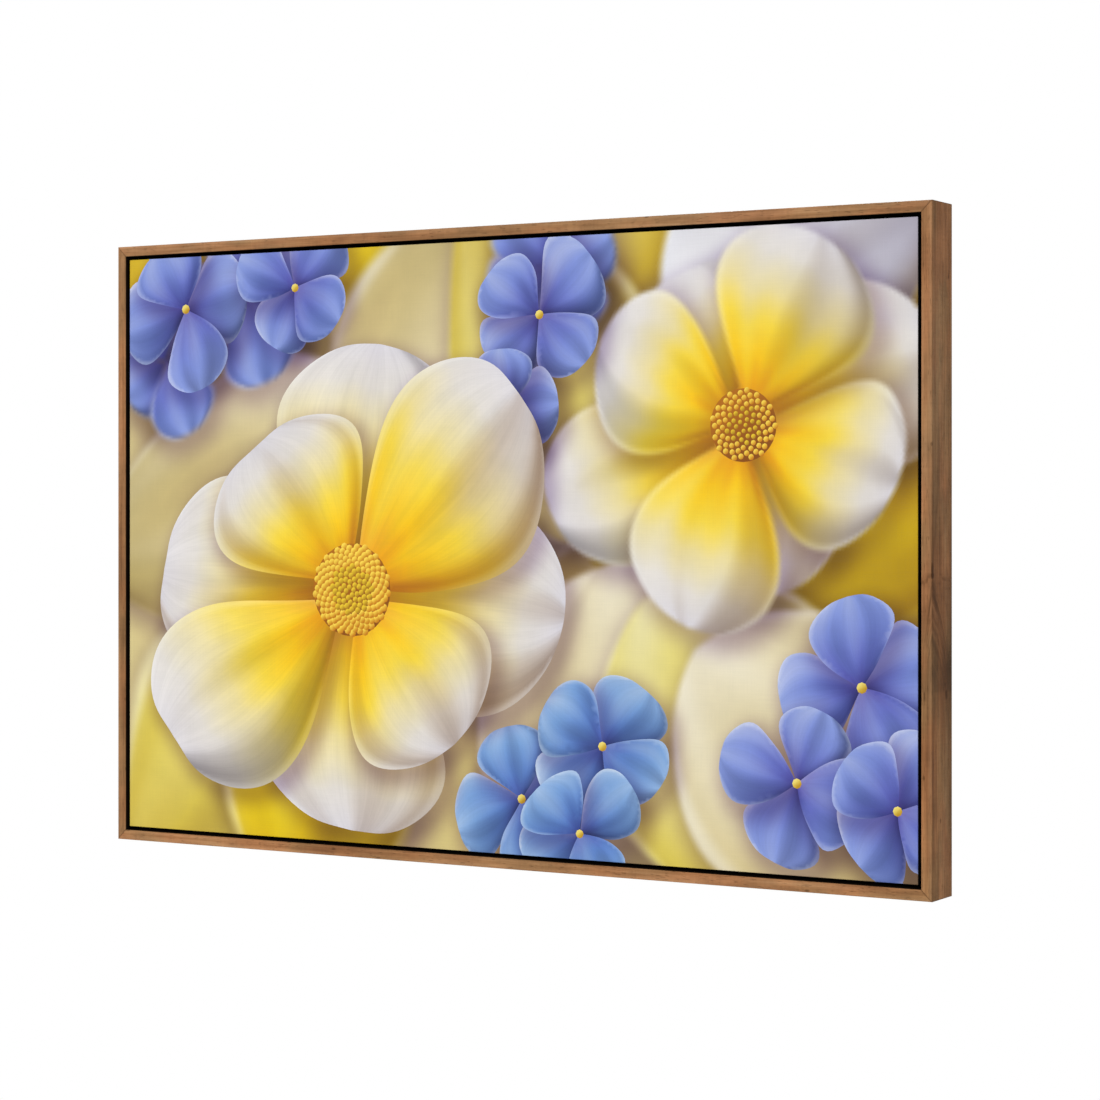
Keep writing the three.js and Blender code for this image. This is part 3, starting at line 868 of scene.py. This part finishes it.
def print_colours(points, top, soft, crisp):
    """Each point's printed colour, as light, and its place along and across its petal."""
    colour = np.zeros((len(points), 3))
    petal = np.zeros((len(points), 3))
    under = np.flatnonzero(top < 0)
    at = points[under]
    base = ground(at)
    for layer in soft:
        close = near(at, layer, LAYER_ROOM)
        away = outside_by(at[close], layer.outline)
        base[close] *= layer.shadow(at[close])
        base[close] = mix(base[close], layer.paint(at[close]), 1 - smooth(-layer.blur, layer.blur, away))
    colour[under] = base
    for i, layer in enumerate(crisp):
        close = near(points, layer, LAYER_ROOM)
        below = close[top[close] < i]
        colour[below] *= layer.shadow(points[below])
        own = np.flatnonzero(top == i)
        colour[own] = layer.paint(points[own])
        petal[own] = layer.metres(points[own])
    return to_light(np.clip(colour, 0, 1)), petal


# The canvas's front, cut along the crisp outlines.

def ring_start():
    """The points round the front's rim, closer near the corners, anticlockwise from the bottom left."""
    reach = CANVAS_HALF - EDGE_BEND
    corners = reach * np.array([(-1, -1), (1, -1), (1, 1), (-1, 1)])
    points = []
    for start, end in zip(corners, np.roll(corners, -1, axis=0)):
        length = float(np.abs(end - start).sum())
        last = length - CORNER_STEPS[-1] - PRINT_GRID / 2
        inner = np.arange(CORNER_STEPS[-1] + PRINT_GRID, last, PRINT_GRID)
        stops = [0, *CORNER_STEPS, *inner, *(length - step for step in reversed(CORNER_STEPS))]
        points += [start + (end - start) * stop / length for stop in stops]
    return np.array(points)


def print_grid(layers):
    """A staggered grid of points over the front, with room left round the crisp outlines."""
    reach = CANVAS_HALF - EDGE_BEND - 0.6 * PRINT_GRID
    rows = []
    for i, z in enumerate(np.arange(-reach[1], reach[1], 0.87 * PRINT_GRID)):
        x = np.arange(-reach[0] + (i % 2) * PRINT_GRID / 2, reach[0], PRINT_GRID)
        rows.append(np.stack([x, np.full(len(x), z)], axis=1))
    points = np.concatenate(rows)
    kept = np.ones(len(points), bool)
    for layer in layers:
        at = near(points, layer, PRINT_GRID)
        kept[at] &= np.abs(outside_by(points[at], layer.outline)) > 0.3 * PRINT_GRID
    return points[kept]


def print_outlines(layers):
    """The parts of the crisp outlines that no later layer covers, as points and the edges between them."""
    points, edges = [], []
    for i, layer in enumerate(layers):
        hidden = np.zeros(len(layer.outline), bool)
        for above in layers[i + 1 :]:
            at = near(layer.outline, above, 0)
            if len(at):
                hidden[at] |= outside_by(layer.outline[at], above.outline) < -HIDDEN_BY
        first = len(points)
        points += list(layer.outline)
        edges += [(first + a, first + b) for a, b in loop_edges(len(hidden)) if not (hidden[a] and hidden[b])]
    used = sorted({end for edge in edges for end in edge})
    place = {old: new for new, old in enumerate(used)}
    return [points[old] for old in used], [(place[a], place[b]) for a, b in edges]


def front_faces(rim_points, layers):
    """The print's points and triangles inside its rim, cut along the crisp outlines."""
    outline_points, outline_edges = print_outlines(layers)
    grid = print_grid(layers)
    first = len(rim_points) + len(grid)
    edges = loop_edges(len(rim_points)) + [(first + a, first + b) for a, b in outline_edges]
    places = [Vector(p) for p in (*rim_points, *grid, *outline_points)]
    found = delaunay_2d_cdt(places, edges, [], 0, 1e-6, False)
    points = np.array([tuple(p) for p in found[0]])
    triangles = np.array(found[2])
    middles = points[triangles].mean(1)
    triangles = triangles[(np.abs(middles) < CANVAS_HALF - EDGE_BEND).all(1)]
    used, triangles = np.unique(triangles, return_inverse=True)
    return points[used], triangles.reshape(-1, 3)


def rim_loop(triangles):
    """The points along the triangles' open edges, in order, and the triangle on each edge."""
    open_edges = {}
    for row, (a, b, c) in enumerate(triangles.tolist()):
        for start, end in ((a, b), (b, c), (c, a)):
            if open_edges.pop((end, start), None) is None:
                open_edges[(start, end)] = row
    following = {start: (end, row) for (start, end), row in open_edges.items()}
    loop, rows = [min(following)], []
    while len(rows) < len(following):
        end, row = following[loop[-1]]
        rows.append(row)
        loop.append(end)
    return loop[:-1], rows


def rim_colours(triangles, colour, loop, rows):
    """The print's colours along its rim, at the four corners of each face in a strip round it."""
    def at_points(points):
        return np.array([colour[row][triangles[row] == point][0] for row, point in zip(rows, points)])

    starts, ends = at_points(loop), at_points(loop[1:] + loop[:1])
    return np.stack([ends, starts, starts, ends], axis=1).reshape(-1, 3)


# The rest of the cloth, thin and closed: its sides, the flaps behind, and back along its inside.

def rim_at(loop, inset):
    """The front's rim of points led to another inset from the canvas's outline, its corners round near it."""
    start = CANVAS_HALF - EDGE_BEND
    gone = start - np.abs(loop)
    upright = gone[:, 0] < gone[:, 1]
    along = np.where(upright, gone[:, 1], gone[:, 0])
    middle = np.where(upright, start[1], start[0])
    stretch = (middle + EDGE_BEND - inset - CORNER_KEPT) / (middle - CORNER_KEPT)
    along = np.where(along < CORNER_KEPT, along, CORNER_KEPT + (along - CORNER_KEPT) * stretch)
    inwards = np.zeros(len(loop))
    radius = CORNER_ROUND - inset
    if radius > 0:
        turn = math.pi / 4 * (1 - np.clip(along / radius, 0, 1))
        inwards = radius * (1 - np.cos(turn))
        along = np.where(along < radius, radius * (1 - np.sin(turn)), along)
    from_outline = np.stack([np.where(upright, inwards, along), np.where(upright, along, inwards)], axis=1)
    return np.where(loop < 0, -1, 1) * (CANVAS_HALF - inset - from_outline)


def fold_height(loop, inset):
    """How far the flaps of the top and bottom stand out where they are folded over the side flaps."""
    gone = CANVAS_HALF - EDGE_BEND - np.abs(loop)
    over = (gone[:, 1] <= gone[:, 0]) & (gone[:, 0] > 1e-5)
    past_ledge = smooth(LEDGE_INSET, LEDGE_INSET + 0.0015, inset)
    return FOLD_RISE * over * (1 - smooth(0.012, 0.026, gone[:, 0])) * past_ledge


def cloth_section():
    """The cloth's section from the front's rim round the outside, to the cut edge, and back along the inside.

    Each step is the inset from the outline, the depth behind the front, the finish of the strip that leads to
    it, and 1 on the outer face of the flap.
    """
    quarter = [math.pi / 2 * i / BEND_STEPS for i in range(1, BEND_STEPS + 1)]
    inner = EDGE_BEND - CLOTH
    back = CANVAS_DEPTH
    steps = []
    for turn in quarter:
        finish = PRINT if turn < 0.3 * math.pi else EDGE_BLACK
        steps.append((EDGE_BEND * (1 - math.sin(turn)), EDGE_BEND * (1 - math.cos(turn)), finish, 0))
    steps += [(0, share * back, EDGE_BLACK, 0) for share in (0.25, 0.5, 0.75)]
    for turn in [0, *quarter]:
        inset, before_back = EDGE_BEND * (1 - math.cos(turn)), EDGE_BEND * (1 - math.sin(turn))
        steps.append((inset, back - before_back, EDGE_BLACK, 0))
    for inset in (*FLAP_STEPS, FLAP - CUT_STEP):
        steps.append((inset, back, EDGE_BLACK if inset < BLACK_FLAP else RAW, 1))
    steps += [(FLAP, back - 0.25 * CLOTH, RAW, 0.7), (FLAP, back - 0.75 * CLOTH, RAW, 0)]
    steps += [(inset, back - CLOTH, RAW, 0) for inset in (FLAP - CUT_STEP, FLAP / 2, EDGE_BEND)]
    for turn in quarter[:-1]:
        steps.append((EDGE_BEND - inner * math.sin(turn), back - EDGE_BEND + inner * math.cos(turn), RAW, 0))
    steps += [(CLOTH, depth, RAW, 0) for depth in (back - EDGE_BEND, 0.5 * back, EDGE_BEND)]
    for turn in quarter:
        steps.append((EDGE_BEND - inner * math.cos(turn), EDGE_BEND - inner * math.sin(turn), RAW, 0))
    return steps


def ragged(loop):
    """A slow wander of the flap's cut edge, round the canvas."""
    turn = np.arctan2(loop[:, 1] / CANVAS_HALF[1], loop[:, 0] / CANVAS_HALF[0])
    return RAGGED * (np.sin(9 * turn + 1) + 0.7 * np.sin(23 * turn + 2) + 0.5 * np.sin(41 * turn))


def cloth_rings(rim):
    """Each ring of points from the front's rim to the inside, and the finish of the strip before it."""
    wander = ragged(rim)
    for inset, depth, finish, outer in cloth_section():
        place = rim_at(rim, inset)
        on_edge = np.abs(CANVAS_HALF - inset - np.abs(place)) < 1e-6
        place = place - np.sign(place) * (wander * smooth(0.016, FLAP, inset))[:, None] * on_edge
        y = CANVAS_LOW.y + depth + outer * fold_height(rim, inset)
        yield np.stack([place[:, 0], y, place[:, 1]], axis=1), finish


def inner_front(points):
    """Triangles that close the cloth's inside face within its last ring."""
    found = delaunay_2d_cdt([Vector(p) for p in points], loop_edges(len(points)), [], 0, 1e-7, True)
    middles = np.array([np.mean([tuple(found[0][i]) for i in face], axis=0) for face in found[2]])
    reach = np.abs(points).max(0)
    return [[found[3][i][0] for i in reversed(face)]
            for face, middle in zip(found[2], middles) if (np.abs(middle) < reach).all()]


def corner_values(mesh, name, kind, field, values, rest):
    """Stores values at the mesh's first face corners, and one value at all the rest."""
    data = np.tile(np.array(rest, float), (len(mesh.loops), 1))
    data[: len(values), :3] = values
    mesh.attributes.new(name, kind, "CORNER").data.foreach_set(field, data.ravel())


def add_canvas():
    """The printed canvas, with the print's colours and petal places stored at its face corners."""
    layers = design()
    soft = [layer for layer in layers if layer.blur]
    crisp = [layer for layer in layers if not layer.blur]
    points, triangles = front_faces(ring_start(), crisp)
    loop, rows = rim_loop(triangles)
    top = top_layer(points[triangles].mean(1), crisp)
    colour, petal = print_colours(points[triangles].reshape(-1, 2), np.repeat(top, 3), soft, crisp)
    strip = rim_colours(triangles, colour.reshape(-1, 3, 3), loop, rows)

    vertices = [np.insert(points, 1, CANVAS_LOW.y, axis=1)]
    faces = triangles.tolist()
    finishes = [PRINT] * len(faces)
    colours = [colour]
    previous, made = np.array(loop), len(points)
    for places, finish in cloth_rings(points[loop]):
        ring = made + np.arange(len(loop))
        made += len(loop)
        vertices.append(places)
        faces += np.stack([np.roll(previous, -1), previous, ring, np.roll(ring, -1)], axis=1).tolist()
        finishes += [finish] * len(loop)
        colours.append(strip)
        previous = ring
    closing = inner_front(places[:, ::2])
    faces += [[int(previous[i]) for i in face] for face in closing]
    finishes += [RAW] * len(closing)

    edge = cloth("canvas_edge", "070606", "16120f", 0.75)
    raw = cloth("canvas_back", "d3c9b1", "e8e1d0", 0.88)
    mesh = new_mesh("printed_canvas", np.concatenate(vertices), faces, printed_cloth(), edge, raw)
    mesh.polygons.foreach_set("material_index", finishes)
    mesh.polygons.foreach_set("use_smooth", [finish != PRINT for finish in finishes])
    corner_values(mesh, "print_colour", "FLOAT_COLOR", "color", np.concatenate(colours), (0, 0, 0, 1))
    corner_values(mesh, "petal", "FLOAT_VECTOR", "vector", petal, (0, 0, 0))
    mesh.validate()
    mesh.update()
    canvas = add_object("printed_canvas", mesh)
    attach(canvas, "root")
    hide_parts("canvas")


# Staples that hold the flaps to the bars.

def staple_path():
    """A staple's centre line, from one point to the other: legs, bends and crown, as across and out."""
    half, bend, leg = STAPLE_CROWN / 2, STAPLE_BEND, STAPLE_LEG
    turns = [math.pi / 2 * i / 4 for i in range(5)]
    left = [(-half + bend - bend * math.cos(t), -bend + bend * math.sin(t)) for t in turns]
    path = [(-half, -leg), (-half, -leg / 2), *left]
    return path + [(-across, out) for across, out in reversed(path)]


def staple_rings():
    """The staple's rings of points, about the middle of its crown, as across, out and along."""
    wide, thick, soft = STAPLE_WIDTH / 2, STAPLE_THICK / 2, 0.3 * STAPLE_THICK
    section = [(wide, thick - soft), (wide - soft, thick), (soft - wide, thick), (-wide, thick - soft),
               (-wide, soft - thick), (soft - wide, -thick), (wide - soft, -thick), (wide, soft - thick)]
    path = np.array(staple_path())
    tangent = np.gradient(path, axis=0)
    tangent /= np.linalg.norm(tangent, axis=1)[:, None]
    normal = np.stack([-tangent[:, 1], tangent[:, 0]], axis=1)
    return np.array([[(*(centre + side * lift), slide) for slide, lift in section]
                     for centre, side in zip(path, normal)])


def staple_faces(first, count, sides):
    """The faces of a tube of rings, with its two ends."""
    starts = [first + i * sides for i in range(count)]
    faces = [(start + a, start + b, start + sides + b, start + sides + a)
             for start in starts[:-1] for a, b in loop_edges(sides)]
    return [*faces, tuple(range(first, first + sides))[::-1], tuple(range(starts[-1], starts[-1] + sides))]


def staple_places(rng):
    """Where each staple stands, and the turn of its crown from X."""
    line = CANVAS_HALF - STAPLE_INSET
    for end in (-1, 1):
        for share in np.linspace(-1, 1, STAPLES_LONG):
            yield share * (line[0] - STAPLE_CORNER), end * line[1], rng.normal(0, STAPLE_TILT)
        for share in np.linspace(-1, 1, STAPLES_SHORT):
            yield end * line[0], share * (line[1] - STAPLE_CORNER), math.pi / 2 + rng.normal(0, STAPLE_TILT)


def add_staples(material):
    rng = np.random.default_rng(5)
    rings = staple_rings()
    count, sides = rings.shape[:2]
    across, out, along = rings.reshape(-1, 3).T
    vertices, faces = [], []
    for x, z, turn in staple_places(rng):
        x, z = x + rng.normal(0, STAPLE_DRIFT), z + rng.normal(0, STAPLE_DRIFT)
        lift = STAPLE_THICK / 2 + STAPLE_CLEAR + rng.uniform(0, STAPLE_LIFT)
        faces += staple_faces(len(vertices), count, sides)
        vertices += np.stack([
            x + across * math.cos(turn) - along * math.sin(turn),
            CANVAS_HIGH.y + lift + out,
            z + across * math.sin(turn) + along * math.cos(turn),
        ], axis=1).tolist()
    mesh = new_mesh("flap_staples", vertices, faces, material)
    mesh.validate()
    staples = add_object("flap_staples", mesh)
    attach(staples, "root")


add_camera()
add_world(above=0.575, below=0.35)
add_area_light("key_light", (-2.5, -8.0, 3.0), 5.0, 410)
add_area_light("back_light", (-1.2, 3.0, 1.8), 1.6, 60)
add_floor(height=-1.25, radius=2.2)
zinc_plate = metal("zinc_screw", "a9acaa", "cdd0cc", 0.26, 0.42)
dress_pieces(zinc_plate)
add_canvas()
add_staples(zinc_plate)
